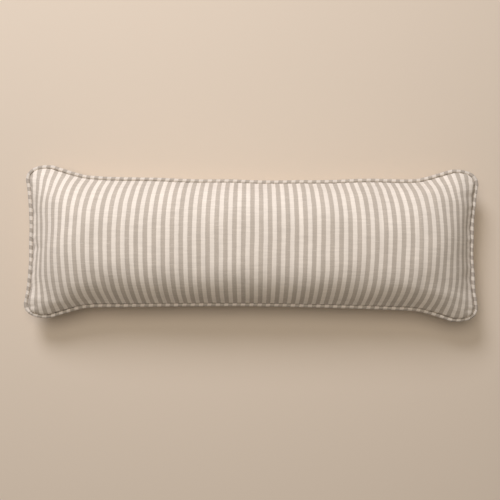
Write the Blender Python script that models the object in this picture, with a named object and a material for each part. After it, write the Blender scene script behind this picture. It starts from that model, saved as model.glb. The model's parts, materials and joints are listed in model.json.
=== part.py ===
"""Long lumbar throw pillow: striped cover with a piped seam, a coil zipper and a removable insert.

Metres, +Z up. X runs along the length and -Y is the long side that holds the zipper. The pillow
lies on its back panel, and the origin is the middle of the flat patch that it rests on.
"""
import math

import bmesh
import bpy
from mathutils import Vector

# Cover, as cut and laid flat, measured from seam to seam
FLAT_HALF_LENGTH = 0.457
FLAT_HALF_WIDTH = 0.1525
CORNER_RADIUS = 0.038

# Seam outline of the stuffed cover: long sides waisted, corners drawn out into ears
SIDE_WAIST = 0.1173
SIDE_BOW = 0.010
SIDE_BOW_POWER = 1.6
EAR_START = 0.74
EAR_PEAK = 0.90
EAR_RISE = 0.0158
EAR_POWER = 1.3
END_WAIST = 0.433
END_EAR = 0.011
END_EAR_PEAK = 0.75

# Crown of each face above and below the seam
SEAM_HEIGHT = 0.064
FRONT_CROWN = 0.076
BACK_CROWN = 0.078
ARC_HALF_ANGLE = 1.22
END_PROFILE = (8.0, 0.62)
CORNER_FULLNESS = 0.28

# Cloth, seam allowance and the gap that keeps touching layers apart
CLOTH = 0.0008
GAP = 0.0003
ALLOWANCE = 0.006

# Welt: a strip of the cover cloth wrapped round a filler cord
WELT_RADIUS = 0.00375
WELT_BORE = 0.0032
CORD_RADIUS = 0.0028
WELT_CENTRE = 0.0047
STRIP = 0.00045
FLANGE_TOP = STRIP + GAP / 2
PANEL_EDGE = FLANGE_TOP + GAP

# Insert, measured inwards from the cover
INSERT_SIDE_INSET = 0.014
INSERT_CROWN_INSET = 0.0035
CASING = 0.0006
FILL_SIDE_INSET = 0.0206
FILL_CROWN_INSET = 0.0057

# Zipper: a 5 mm class coil zipper set between the welt and the back panel
ZIP_HALF_OPENING = 0.210
ZIP_FLAT_HALF = ZIP_HALF_OPENING * FLAT_HALF_LENGTH / (END_WAIST + END_EAR)
ZIP_STRIP_END = 0.889
TAPE = 0.0006
TAPE_INSET = CLOTH + GAP
TAPE_FLAT_HALF = 0.005
TAPE_OVERLAP = 0.008
TAPE_FLANGE = 0.006
CHAIN_FROM_SEAM = 0.0086
CHAIN_START = -0.1875
SLIT_HALF = 0.0005
COIL_WIDTH = 0.0025
COIL_BASE = 0.0003
COIL_TOP = 0.0023
SLIDER_REST = 0.194
STOP_LENGTH = 0.0024

# Slider, about its own middle: along the chain, across it, and out from the tapes
SLIDER_HALF_LENGTH = 0.005
SLIDER_HALF_WIDTH = 0.0043
PLATE = 0.0009
OUTER_PLATE = (0.0026, 0.0035)
INNER_PLATE = (-0.0018, -0.0009)
LIP_BOTTOM = 0.0004
LIP = 0.0008
POST = ((0.0022, -0.00025), (0.0044, 0.00025))
CROWN_HALF_LENGTH = 0.0032
CROWN_WINDOW_HALF = 0.0022
CROWN_HALF_WIDTH = 0.0008
CROWN_TOP = (0.0054, 0.0064)

# Pull tab: where it hinges on the slider, and its own sizes from that hinge
PULL_AXIS = (-0.0012, 0.0044)
PULL_HALF_THICKNESS = 0.0005
PULL_EYE = 0.0053
PULL_LENGTH = 0.0230
PULL_HALF_WIDTH = 0.0032
PULL_BAR_HALF = 0.0026
PULL_ARM = 0.0012
PULL_BAR = 0.00055

# Care label inside the cover: its columns along X and its rows across the back panel
LABEL_COLUMNS = (-0.300, -0.288, -0.276)
LABEL_ROWS = (-0.90, -0.82, -0.74, -0.66)
LABEL_INSET = 0.0026

# Grid lines over a quarter of a face, as shares of its half length and half width
CORNER_P = 1 - CORNER_RADIUS / FLAT_HALF_LENGTH
CORNER_Q = 1 - CORNER_RADIUS / FLAT_HALF_WIDTH
ZIP_P = ZIP_FLAT_HALF / FLAT_HALF_LENGTH
P_LINES = (0.0, 0.155, 0.31, ZIP_P, 0.58, 0.68, 0.76, 0.83, 0.88, CORNER_P, 0.945, 0.973, 1.0)
Q_LINES = (0.0, 0.25, 0.46, 0.62, CORNER_Q, 0.825, ZIP_STRIP_END, 0.945, 1.0)
INSERT_P_LINES = (0.0, 0.22, 0.44, 0.63, 0.79, CORNER_P, 0.96, 1.0)
INSERT_Q_LINES = (0.0, 0.36, 0.64, CORNER_Q, 0.90, 1.0)

STRIPED = (0.76, 0.69, 0.60)
CALICO = (0.86, 0.83, 0.77)
FIBRE = (0.93, 0.93, 0.91)
TAPE_COLOUR = (0.66, 0.60, 0.52)
LABEL_COLOUR = (0.90, 0.88, 0.84)
BRASS = (0.62, 0.52, 0.36)


def clear_scene():
    for obj in list(bpy.data.objects):
        bpy.data.objects.remove(obj, do_unlink=True)


def material(name, colour, roughness, metallic=0.0):
    made = bpy.data.materials.new(name)
    made.use_nodes = True
    shader = made.node_tree.nodes["Principled BSDF"]
    shader.inputs["Base Color"].default_value = (*colour, 1.0)
    shader.inputs["Roughness"].default_value = roughness
    shader.inputs["Metallic"].default_value = metallic
    return made


def mirrored(lines):
    return [-value for value in reversed(lines[1:])] + list(lines)


def flat_point(p, q):
    """Where a point of the square (p, q) lies on the flat cover, whose corners are round."""
    over_p = (abs(p) - CORNER_P) / (1 - CORNER_P)
    over_q = (abs(q) - CORNER_Q) / (1 - CORNER_Q)
    if over_p <= 0 or over_q <= 0:
        return p * FLAT_HALF_LENGTH, q * FLAT_HALF_WIDTH
    round_p = over_p * math.sqrt(1 - over_q**2 / 2)
    round_q = over_q * math.sqrt(1 - over_p**2 / 2)
    flat_x = FLAT_HALF_LENGTH - CORNER_RADIUS * (1 - round_p)
    flat_y = FLAT_HALF_WIDTH - CORNER_RADIUS * (1 - round_q)
    return math.copysign(flat_x, p), math.copysign(flat_y, q)


def half_width(s):
    """Half width of the seam outline at the share s of the half length."""
    ear = min(max(abs(s) - EAR_START, 0.0) / (EAR_PEAK - EAR_START), 1.0)
    return SIDE_WAIST + SIDE_BOW * abs(s) ** SIDE_BOW_POWER + EAR_RISE * ear**EAR_POWER


def half_length(t):
    """Half length of the seam outline at the share t of the half width."""
    return END_WAIST + END_EAR * min(abs(t) / END_EAR_PEAK, 1.0) ** 2


def plan_point(p, q, inset=0.0):
    """Where the point lies in plan once the cover is stuffed, `inset` inside the seam."""
    flat_x, flat_y = flat_point(p, q)
    s = flat_x / FLAT_HALF_LENGTH
    t = flat_y / FLAT_HALF_WIDTH
    across = math.sin(ARC_HALF_ANGLE * t) / math.sin(ARC_HALF_ANGLE)
    return s * (half_length(t) - inset), across * (half_width(s) - inset)


def crown_share(p, q):
    """Height of the crown at (p, q), as a share of its greatest height."""
    low = math.cos(ARC_HALF_ANGLE)
    arc = max(math.cos(ARC_HALF_ANGLE * q) - low, 0.0) / (1 - low)
    steepness, fullness = END_PROFILE
    end = max(1 - abs(p) ** steepness, 0.0) ** fullness
    return (arc * end) ** (1 - CORNER_FULLNESS * (p * q) ** 2)


def face_point(side, crown, p, q, inset=0.0, edge=PANEL_EDGE, floor=0.0):
    """A point of the front face (side 1) or the back face (side -1)."""
    x, y = plan_point(p, q, inset)
    height = SEAM_HEIGHT + side * (edge + (crown - edge) * crown_share(p, q))
    return Vector((x, y, max(height, floor)))


def back_point(p, q):
    return face_point(-1, BACK_CROWN, p, q)


def back_inside(p, q, depth):
    """The point `depth` inside the back panel's outer surface."""
    step = 0.002
    along = back_point(p + step, q) - back_point(p - step, q)
    across = back_point(p, q + step) - back_point(p, q - step)
    return back_point(p, q) + along.cross(across).normalized() * depth


def edge_params(p_lines, q_lines):
    """The (p, q) pairs round the seam, anticlockwise seen from above."""
    ps = mirrored(p_lines)
    qs = mirrored(q_lines)
    bottom = [(p, -1.0) for p in ps[:-1]]
    right = [(1.0, q) for q in qs[:-1]]
    top = [(p, 1.0) for p in reversed(ps[1:])]
    left = [(-1.0, q) for q in reversed(qs[1:])]
    return bottom + right + top + left


def outward_normals(points):
    """Unit normals in plan of a closed anticlockwise loop, pointing out of it."""
    normals = []
    for i, point in enumerate(points):
        ahead = points[(i + 1) % len(points)]
        along = ahead - points[i - 1]
        normals.append(Vector((along.y, -along.x, 0.0)).normalized())
    return normals


def mesh_object(name, vertices, faces, finish, recalculate=True):
    mesh = bpy.data.meshes.new(name)
    mesh.from_pydata(vertices, [], faces)
    mesh.materials.append(finish)
    if recalculate:
        shell = bmesh.new()
        shell.from_mesh(mesh)
        bmesh.ops.remove_doubles(shell, verts=shell.verts, dist=1e-6)
        bmesh.ops.recalc_face_normals(shell, faces=shell.faces)
        shell.to_mesh(mesh)
        shell.free()
    obj = bpy.data.objects.new(name, mesh)
    bpy.context.collection.objects.link(obj)
    return obj


def turn_outwards(obj, side):
    """Turns a face's normals away from the inside: up on the front (side 1), down on the back."""
    broadest = max(obj.data.polygons, key=lambda face: abs(face.normal.z) * face.area)
    if broadest.normal.z * side < 0:
        obj.data.flip_normals()


def thicken(obj, thickness):
    """Gives an open surface a thickness on its inner side."""
    solid = obj.modifiers.new("thickness", "SOLIDIFY")
    solid.thickness = thickness
    solid.offset = -1
    solid.use_even_offset = True
    return obj


def face_grid(make_point, p_lines, q_lines, keep):
    """Vertices and faces of a face's grid, and the vertex number of each (p, q)."""
    ps = mirrored(p_lines)
    qs = mirrored(q_lines)
    number = {}
    vertices = []
    for p in ps:
        for q in qs:
            number[p, q] = len(vertices)
            vertices.append(make_point(p, q))
    faces = []
    for low_p, high_p in zip(ps, ps[1:]):
        for low_q, high_q in zip(qs, qs[1:]):
            if keep((low_p + high_p) / 2, (low_q + high_q) / 2):
                corners = ((low_p, low_q), (high_p, low_q), (high_p, high_q), (low_p, high_q))
                faces.append([number[corner] for corner in corners])
    return vertices, faces, number


def drop_unused(vertices, faces):
    used = sorted({index for face in faces for index in face})
    place = {old: new for new, old in enumerate(used)}
    return [vertices[i] for i in used], [[place[i] for i in face] for face in faces]


def in_zip_opening(p, q):
    return q < -ZIP_STRIP_END and abs(p) < ZIP_P


def panel(name, side, crown, finish):
    """One face of the cover, with its seam allowance folded in along the seam."""

    def keep(p, q):
        return side > 0 or not in_zip_opening(p, q)

    def point(p, q):
        return face_point(side, crown, p, q)

    vertices, faces, number = face_grid(point, P_LINES, Q_LINES, keep)
    params = edge_params(P_LINES, Q_LINES)
    loop = [vertices[number[pq]] for pq in params]
    normals = outward_normals(loop)
    folded = [point - normal * ALLOWANCE for point, normal in zip(loop, normals)]
    first = len(vertices)
    vertices += folded
    for i, here in enumerate(params):
        j = (i + 1) % len(params)
        there = params[j]
        middle = ((here[0] + there[0]) / 2, (here[1] + there[1]) / 2)
        if keep(*middle):
            faces.append([number[here], number[there], first + j, first + i])
    vertices, faces = drop_unused(vertices, faces)
    obj = mesh_object(name, vertices, faces, finish)
    turn_outwards(obj, side)
    return thicken(obj, CLOTH)


def sweep_loop(name, profile, finish):
    """A closed profile of (outwards, up) points carried once round the seam."""
    params = edge_params(P_LINES, Q_LINES)
    seam = [Vector((*plan_point(p, q), SEAM_HEIGHT)) for p, q in params]
    normals = outward_normals(seam)
    vertices = []
    for point, normal in zip(seam, normals):
        vertices += [point + normal * out + Vector((0, 0, up)) for out, up in profile]
    count = len(profile)
    faces = []
    for i in range(len(seam)):
        here = i * count
        there = (i + 1) % len(seam) * count
        for j in range(count):
            k = (j + 1) % count
            faces.append([here + j, here + k, there + k, there + j])
    obj = mesh_object(name, vertices, faces, finish)
    obj.data.shade_smooth()
    return obj


def arc_points(radius, level, steps):
    """Points round the welt's centre, from its inner side at +level to its inner side at -level."""
    start = math.pi - math.asin(level / radius)
    turns = [start * (1 - 2 * i / steps) for i in range(steps + 1)]
    return [(WELT_CENTRE + radius * math.cos(a), radius * math.sin(a)) for a in turns]


def welt_cover(finish):
    """The strip: a tube with a slit, whose two layers run on into the seam as a flange."""
    inner_end = -ALLOWANCE
    outside = arc_points(WELT_RADIUS, FLANGE_TOP, 9)
    inside = arc_points(WELT_BORE, GAP / 2, 7)
    profile = [(inner_end, FLANGE_TOP)] + outside + [(inner_end, -FLANGE_TOP)]
    profile += [(inner_end, -GAP / 2)] + inside[::-1] + [(inner_end, GAP / 2)]
    return sweep_loop("welt_cover", profile, finish)


def welt_cord(finish):
    sides = 8
    turns = [2 * math.pi * i / sides for i in range(sides)]
    profile = [(WELT_CENTRE + CORD_RADIUS * math.cos(a), CORD_RADIUS * math.sin(a)) for a in turns]
    return sweep_loop("welt_cord", profile, finish)


def insert_face(name, side, finish):
    crown = FRONT_CROWN if side > 0 else BACK_CROWN

    def point(p, q):
        return face_point(
            side,
            crown - INSERT_CROWN_INSET,
            p,
            q,
            inset=INSERT_SIDE_INSET,
            edge=CASING + GAP,
            floor=INSERT_CROWN_INSET,
        )

    vertices, faces, _ = face_grid(point, INSERT_P_LINES, INSERT_Q_LINES, lambda p, q: True)
    obj = mesh_object(name, vertices, faces, finish)
    turn_outwards(obj, side)
    return thicken(obj, CASING)


def insert_fill(finish):
    """The filling, one closed body inside both halves of the casing."""
    def shell(side, crown):
        def point(p, q):
            return face_point(
                side,
                crown - FILL_CROWN_INSET,
                p,
                q,
                inset=FILL_SIDE_INSET,
                edge=0.0,
                floor=FILL_CROWN_INSET,
            )

        return face_grid(point, INSERT_P_LINES, INSERT_Q_LINES, lambda p, q: True)

    top, top_faces, _ = shell(1, FRONT_CROWN)
    bottom, bottom_faces, _ = shell(-1, BACK_CROWN)
    faces = top_faces + [[index + len(top) for index in face] for face in bottom_faces]
    return mesh_object("insert_fill", top + bottom, faces, finish)


def strip_object(name, rows, finish):
    """A ribbon through rows of points, thickened on its inner side. The rows run towards +X."""
    width = len(rows[0])
    vertices = [point for row in rows for point in row]
    faces = []
    for i in range(len(rows) - 1):
        for j in range(width - 1):
            a = i * width + j
            faces.append([a, a + 1, a + width + 1, a + width])
    obj = mesh_object(name, vertices, faces, finish, recalculate=False)
    return thicken(obj, TAPE)


def zip_frame():
    """The chain's middle point, its direction towards the seam and its outward normal."""
    seam = back_point(0.0, -1.0)
    strip_edge = back_point(0.0, -ZIP_STRIP_END)
    down = (strip_edge - seam).normalized()
    inward = Vector((0.0, -down.z, down.y))
    centre = seam + inward * TAPE_INSET + down * CHAIN_FROM_SEAM
    return centre, -down, -inward


def tape_stations():
    half = ZIP_HALF_OPENING + TAPE_OVERLAP
    count = 14
    return [half * (2 * i / count - 1) for i in range(count + 1)]


def zipper_tapes(finish):
    centre, up, out = zip_frame()
    upper = []
    lower = []
    for x in tape_stations():
        p = x / (END_WAIST + END_EAR)
        chain = Vector((x, centre.y, centre.z))
        seam = back_point(p, -1.0)
        corner = Vector((x, seam.y + 2 * CLOTH + GAP / 2, seam.z - TAPE_INSET))
        flange = corner + Vector((0, TAPE_FLANGE, 0))
        upper.append([flange, corner, chain + up * TAPE_FLAT_HALF, chain + up * SLIT_HALF])
        under_edge = back_inside(p, -ZIP_STRIP_END, TAPE_INSET)
        past_edge = back_inside(p, -0.83, TAPE_INSET)
        under_edge.x = past_edge.x = x
        lower.append([chain - up * SLIT_HALF, chain - up * TAPE_FLAT_HALF, under_edge, past_edge])
    strip_object("zipper_tape_upper", upper, finish)
    strip_object("zipper_tape_lower", lower, finish)


def box_mesh(low, high):
    """Vertices and faces of a box, as a bmesh."""
    shape = bmesh.new()
    bmesh.ops.create_cube(shape, size=1.0)
    low = Vector(low)
    size = Vector(high) - low
    for vertex in shape.verts:
        vertex.co = Vector(
            (
                low.x + (vertex.co.x + 0.5) * size.x,
                low.y + (vertex.co.y + 0.5) * size.y,
                low.z + (vertex.co.z + 0.5) * size.z,
            )
        )
    return shape


def placed(name, shape, parent, finish):
    """Makes an object of a bmesh and parents it to an empty."""
    mesh = bpy.data.meshes.new(name)
    shape.to_mesh(mesh)
    shape.free()
    mesh.materials.append(finish)
    obj = bpy.data.objects.new(name, mesh)
    bpy.context.collection.objects.link(obj)
    obj.parent = parent
    return obj


def box_object(name, low, high, parent, finish):
    return placed(name, box_mesh(low, high), parent, finish)


def join_to(obj, others):
    """Unions helper shapes into the object and hides them."""
    for other in others:
        union = obj.modifiers.new("join " + other.name, "BOOLEAN")
        union.operation = "UNION"
        union.solver = "EXACT"
        union.object = other
        other.hide_render = True
        other.display_type = "WIRE"


def empty(name, location, parent=None):
    made = bpy.data.objects.new(name, None)
    made.empty_display_size = 0.01
    made.location = location
    made.parent = parent
    bpy.context.collection.objects.link(made)
    return made


def zipper_coils(frame, finish):
    for name, side in (("zipper_coil_upper", 1), ("zipper_coil_lower", -1)):
        near = side * SLIT_HALF
        far = side * (SLIT_HALF + COIL_WIDTH)
        low = (CHAIN_START, min(near, far), COIL_BASE)
        high = (SLIDER_REST + SLIDER_HALF_LENGTH, max(near, far), COIL_TOP)
        box_object(name, low, high, frame, finish)


def zipper_stops(frame, finish):
    reach = SLIT_HALF + COIL_WIDTH
    start = SLIDER_REST + SLIDER_HALF_LENGTH + 2 * GAP
    for name, side in (("zipper_top_stop_upper", 1), ("zipper_top_stop_lower", -1)):
        near = side * SLIT_HALF
        far = side * reach
        low = (start, min(near, far), COIL_BASE)
        high = (start + STOP_LENGTH, max(near, far), COIL_TOP)
        box_object(name, low, high, frame, finish)
    end = CHAIN_START - GAP
    low = (end - STOP_LENGTH, -reach, COIL_BASE)
    box_object("zipper_bottom_stop", low, (end, reach, COIL_TOP), frame, finish)


def zipper_slider(carriage, finish):
    """Two plates held by a post that runs in the slit, with a bridge for the pull."""
    long, wide = SLIDER_HALF_LENGTH, SLIDER_HALF_WIDTH
    body = box_object(
        "zipper_slider",
        (-long, -wide, OUTER_PLATE[0]),
        (long, wide, OUTER_PLATE[1]),
        carriage,
        finish,
    )
    into = PLATE / 3
    lips = [
        box_object(
            f"slider lip {side}",
            (-long, min(side * wide, side * (wide - LIP)), LIP_BOTTOM),
            (long, max(side * wide, side * (wide - LIP)), OUTER_PLATE[0] + into),
            carriage,
            finish,
        )
        for side in (1, -1)
    ]
    inner = box_object(
        "slider inner plate",
        (-long, -wide, INNER_PLATE[0]),
        (long, wide, INNER_PLATE[1]),
        carriage,
        finish,
    )
    post = box_object(
        "slider post",
        (*POST[0], INNER_PLATE[0] + into),
        (*POST[1], OUTER_PLATE[1] - into),
        carriage,
        finish,
    )
    crown = crown_shape(carriage, finish)
    join_to(body, lips + [post, inner, crown])


def crown_shape(carriage, finish):
    """The bridge, drawn from the side and extruded across the slider."""
    base = OUTER_PLATE[1] - PLATE / 3
    foot = OUTER_PLATE[1] + PLATE / 9
    outline = [
        (-CROWN_HALF_LENGTH, base),
        (CROWN_HALF_LENGTH, base),
        (CROWN_HALF_LENGTH, CROWN_TOP[0]),
        (CROWN_WINDOW_HALF, CROWN_TOP[1]),
        (-CROWN_WINDOW_HALF, CROWN_TOP[1]),
        (-CROWN_HALF_LENGTH, CROWN_TOP[0]),
    ]
    window = [
        (-CROWN_WINDOW_HALF, foot),
        (CROWN_WINDOW_HALF, foot),
        (CROWN_WINDOW_HALF, CROWN_TOP[0] - PLATE / 2),
        (CROWN_WINDOW_HALF - PLATE / 2, CROWN_TOP[0]),
        (-CROWN_WINDOW_HALF + PLATE / 2, CROWN_TOP[0]),
        (-CROWN_WINDOW_HALF, CROWN_TOP[0] - PLATE / 2),
    ]
    crown = side_extrusion("slider crown", outline, CROWN_HALF_WIDTH, carriage, finish)
    cutter = side_extrusion("slider window", window, 2 * CROWN_HALF_WIDTH, carriage, finish)
    cut = crown.modifiers.new("window", "BOOLEAN")
    cut.operation = "DIFFERENCE"
    cut.solver = "EXACT"
    cut.object = cutter
    cutter.hide_render = True
    cutter.display_type = "WIRE"
    return crown


def side_extrusion(name, outline, half_depth, parent, finish):
    """A prism whose outline is given along X and Z, extruded both ways along Y."""
    shape = bmesh.new()
    ring = [shape.verts.new((x, -half_depth, z)) for x, z in outline]
    face = shape.faces.new(ring)
    grown = bmesh.ops.extrude_face_region(shape, geom=[face])
    moved = [v for v in grown["geom"] if isinstance(v, bmesh.types.BMVert)]
    bmesh.ops.translate(shape, verts=moved, vec=(0, 2 * half_depth, 0))
    bmesh.ops.recalc_face_normals(shape, faces=shape.faces)
    return placed(name, shape, parent, finish)


def pull_outline():
    """Outline of the tab seen from above, hinge end first, with a round free end."""
    points = [(PULL_BAR, -PULL_BAR_HALF), (PULL_BAR, PULL_BAR_HALF)]
    points += [(-PULL_EYE, PULL_BAR_HALF), (-PULL_EYE - 0.0015, PULL_HALF_WIDTH)]
    centre = -PULL_LENGTH + PULL_HALF_WIDTH
    steps = 8
    for i in range(steps + 1):
        turn = math.pi * (0.5 + i / steps)
        points.append(
            (centre + PULL_HALF_WIDTH * math.cos(turn), PULL_HALF_WIDTH * math.sin(turn))
        )
    points += [(-PULL_EYE - 0.0015, -PULL_HALF_WIDTH), (-PULL_EYE, -PULL_BAR_HALF)]
    return points


def flat_prism(name, outline, parent, finish, half_depth=PULL_HALF_THICKNESS):
    shape = bmesh.new()
    ring = [shape.verts.new((x, y, -half_depth)) for x, y in outline]
    face = shape.faces.new(ring)
    grown = bmesh.ops.extrude_face_region(shape, geom=[face])
    moved = [v for v in grown["geom"] if isinstance(v, bmesh.types.BMVert)]
    bmesh.ops.translate(shape, verts=moved, vec=(0, 0, 2 * half_depth))
    bmesh.ops.recalc_face_normals(shape, faces=shape.faces)
    return placed(name, shape, parent, finish)


def zipper_pull(hinge, finish):
    """The tab, with an eye that goes round the bridge and a hole near its free end."""
    tab = flat_prism("zipper_pull", pull_outline(), hinge, finish)
    arm = PULL_BAR_HALF - PULL_ARM
    eye = [(-PULL_BAR, -arm), (-PULL_BAR, arm), (-PULL_EYE, arm), (-PULL_EYE, -arm)]
    middle = -PULL_LENGTH + PULL_HALF_WIDTH
    hole_radius = PULL_HALF_WIDTH * 0.45
    steps = 10
    hole = [
        (
            middle + hole_radius * math.cos(2 * math.pi * i / steps),
            hole_radius * math.sin(2 * math.pi * i / steps),
        )
        for i in range(steps)
    ]
    for name, outline in (("pull eye", eye), ("pull hole", hole)):
        cutter = flat_prism(name, outline, hinge, finish, half_depth=3 * PULL_HALF_THICKNESS)
        cut = tab.modifiers.new(name, "BOOLEAN")
        cut.operation = "DIFFERENCE"
        cut.solver = "EXACT"
        cut.object = cutter
        cutter.hide_render = True
        cutter.display_type = "WIRE"


def care_label(finish):
    """A blank label inside the cover, hanging from the seam allowance beside the zipper."""
    rows = []
    for x in LABEL_COLUMNS:
        p = x / FLAT_HALF_LENGTH
        row = [back_inside(p, q, LABEL_INSET) for q in LABEL_ROWS]
        for point in row:
            point.x = x
        rows.append(row)
    strip_object("care_label", rows, finish)


def build():
    clear_scene()
    striped = material("striped_cloth", STRIPED, 0.9)
    calico = material("insert_cloth", CALICO, 0.9)
    fibre = material("fibre", FIBRE, 1.0)
    tape = material("zipper_tape", TAPE_COLOUR, 0.8)
    label = material("label_satin", LABEL_COLOUR, 0.5)
    brass = material("zipper_metal", BRASS, 0.35, 1.0)

    panel("front_panel", 1, FRONT_CROWN, striped)
    panel("back_panel", -1, BACK_CROWN, striped)
    welt_cover(striped)
    welt_cord(fibre)
    insert_face("insert_casing_front", 1, calico)
    insert_face("insert_casing_back", -1, calico)
    insert_fill(fibre)
    care_label(label)
    zipper_tapes(tape)

    centre, up, _ = zip_frame()
    frame = empty("zipper_frame", centre)
    frame.rotation_euler.x = math.atan2(up.z, up.y)
    zipper_coils(frame, tape)
    zipper_stops(frame, brass)
    carriage = empty("slider_carriage", (SLIDER_REST, 0, 0), frame)
    zipper_slider(carriage, brass)
    hinge = empty("pull_hinge", (PULL_AXIS[0], 0, PULL_AXIS[1]), carriage)
    zipper_pull(hinge, brass)


build()
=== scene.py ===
"""Looks of the long striped lumbar pillow, built round its CAD frame.

Each face of the cover is a flat panel of cloth, blown up by a small cloth simulation between its
sewn edges. Everything that touches the cover, such as the piping and the insert, follows that
result. A point of a panel is (p, q), from -1 to 1 along its length and its width, and its UV map
"flat" is where it lay on the flat cloth. Lengths are in metres. Limits are the two values between
which something fades in by smooth(), in that order, and may run downwards.
"""
import json
import math

import bmesh
import bpy
import numpy as np
from mathutils import Euler, Matrix, Vector


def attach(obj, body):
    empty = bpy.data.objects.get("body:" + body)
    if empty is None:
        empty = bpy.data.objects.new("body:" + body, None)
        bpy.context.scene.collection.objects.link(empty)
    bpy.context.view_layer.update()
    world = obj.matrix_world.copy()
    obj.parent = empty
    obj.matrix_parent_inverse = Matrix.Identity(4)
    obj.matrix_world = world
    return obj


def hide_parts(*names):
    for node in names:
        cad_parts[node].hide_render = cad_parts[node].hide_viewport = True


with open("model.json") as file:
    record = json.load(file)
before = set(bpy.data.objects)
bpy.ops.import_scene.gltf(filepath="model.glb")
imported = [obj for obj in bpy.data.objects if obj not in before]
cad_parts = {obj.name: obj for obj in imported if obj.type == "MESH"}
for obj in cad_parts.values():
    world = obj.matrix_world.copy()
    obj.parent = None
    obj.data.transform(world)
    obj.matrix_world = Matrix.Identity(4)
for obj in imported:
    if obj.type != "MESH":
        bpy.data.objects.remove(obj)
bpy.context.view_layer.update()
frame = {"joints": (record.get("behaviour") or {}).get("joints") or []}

# The cover as cut, and the outline of its seam once stuffed. These repeat the CAD model's sizes.
FLAT_HALF_LENGTH = 0.457
FLAT_HALF_WIDTH = 0.1525
CORNER_RADIUS = 0.038
SIDE_WAIST = 0.1173
SIDE_BOW = 0.010
SIDE_BOW_POWER = 1.6
EAR_START = 0.74
EAR_PEAK = 0.90
EAR_RISE = 0.0158
EAR_POWER = 1.3
END_WAIST = 0.433
END_EAR = 0.011
END_EAR_PEAK = 0.75
SEAM_HEIGHT = 0.064
CROWN = {1: 0.076, -1: 0.078}
ARC_HALF_ANGLE = 1.22
END_PROFILE = (8.0, 0.62)
CORNER_FULLNESS = 0.28
CLOTH = 0.0008
PANEL_EDGE = 0.0009
ALLOWANCE = 0.006

# Grid of the simulation, and how many cells of the finished panel each of its cells becomes
GRID = (120, 42)
FINER = 3

# Cloth simulation. LOFT is how far from the seam's level the filling pushes, and END_SLACK the
# share of its push that is missing at the ends.
STEPS = 520
INNER_STEPS = 6
PRESSURE = 0.9
LOFT = 0.0765
LOFT_POWER = 30
END_SLACK = 0.75
END_SLACK_LIMITS = (0.72, 0.97)
DAMPING = 0.95
GIVE_IN_COMPRESSION = 0.02
SHEAR_STIFFNESS = 0.05
BEND_STIFFNESS = 0.002

# Where the zipper keeps the back panel straight, in |p| and in q
HOLD_LIMITS_P = (0.62, 0.50)
HOLD_LIMITS_Q = (-0.60, -0.80)

# At the corners the cloth goes back by one share to its first shape, and loses another share of its
# wrinkles. The limits are distances from the corner of the flat cloth.
CORNER_CALM = 0.75
CORNER_FLATTENING = 0.6
CORNER_LIMITS = (0.105, 0.035)

# Puckers beside the seams: (reach, shortest wave, longest wave, height)
PUCKER_START = 0.004
SIDE_PUCKERS = (0.013, 0.011, 0.024, 0.00042)
END_PUCKERS = (0.018, 0.012, 0.030, 0.0008)

# Lumps of the filling under the cloth: (distance from the seams, shortest, longest, height)
COVER_LUMPS = (0.05, 0.07, 0.19, 0.0011)

# Pinches in the end seams: (end, place across, half width, reach inwards, depth)
PINCH_START = 0.006
PINCHES = (
    (-1, -0.012, 0.011, 0.034, 0.0034),
    (-1, 0.052, 0.014, 0.030, 0.0018),
    (-1, -0.085, 0.012, 0.030, 0.0020),
    (1, -0.062, 0.011, 0.036, 0.0036),
    (1, 0.030, 0.013, 0.030, 0.0018),
    (1, 0.090, 0.012, 0.034, 0.0024),
)

# How far each ear sits from its place: (right, back, x, y, z)
EARS = (
    (-1, 1, 0.002, 0.002, -0.004),
    (-1, -1, -0.001, -0.003, -0.006),
    (1, 1, -0.001, 0.000, -0.005),
    (1, -1, 0.000, -0.004, -0.004),
)
EAR_LIMITS_X = (0.30, 0.44)
EAR_LIMITS_Y = (0.045, 0.13)

# Where the zipper keeps the body from settling, and how far above the floor it may settle
STILL_LIMITS_X = (0.30, 0.24)
STILL_LIMITS_Y = (-0.02, -0.06)
OFF_FLOOR_LIMITS = (0.002, 0.040)

# How the seam wanders sideways, lengthwise and in height: (height, seed, shortest, longest wave)
SIDE_WANDER = (0.0010, 31, 0.11, 0.30)
END_WANDER = (0.0008, 32, 0.06, 0.14)
RISE_WANDER = (0.0013, 33, 0.16, 0.42)

# Piping: a tube of the cover cloth round a cord, sewn in by its flange
PIPE_RADIUS = 0.00375
PIPE_BORE = 0.0032
PIPE_CORD_RADIUS = 0.0028
PIPE_CENTRE = 0.0043
HUG = 0.0022
HUG_PEAK = 0.005
HUG_REACH = 0.020
PIPE_CLOTH = 0.00045
FLANGE_LEVEL = 0.0006
PIPE_STEP = 0.003
# The piping is the cover's own cloth; the next value darkens its copy of that cloth as painted shade
PIPE_PAINTED_SHADE = 0.84
PIPE_DASH = 0.0166
PIPE_SLANT = 0.18
PIPE_GATHERS = ((0.00010, 41, 0.006, 0.016, 9), (0.00010, 42, 0.03, 0.09, 7))
PIPE_TWIST = (0.0006, 43, 0.05, 0.20)
CORD_SIDES = 12
CORD_STRANDS = 3
CORD_LAY = 0.018
CORD_GROOVE = 0.06
SEAM_SAMPLES = 240

# Insert inside the cover
INSERT_SIDE_INSET = 0.014
INSERT_CROWN_INSET = 0.0035
CASING = 0.0006
CASING_EDGE = 0.0009
FILL_SIDE_INSET = 0.0206
FILL_CROWN_INSET = 0.0057
FILL_LUMPS = (0.0012, 51, 0.02, 0.05)

# Zipper. The opening is the cells of the back panel's outer rows, up to ZIP_P from the middle.
ZIP_STRIP_ROW = 56 / 63
ZIP_P = 85 / 180
CHAIN_START = -0.1875
SLIDER_REST = 0.194
PULL_AXIS_RISE = 0.0044
PULL_AXIS_BACK = 0.0012

TAPE = 0.0006
TAPE_REACH = 0.218
TAPE_STEP = 0.0025
TAPE_DEPTH = 0.0011
TAPE_BEND = 0.005
TAPE_EDGE = 0.0004
TAPE_ROWS = (-0.889, -0.83)
SEAM_GAP = 0.00015

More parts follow.
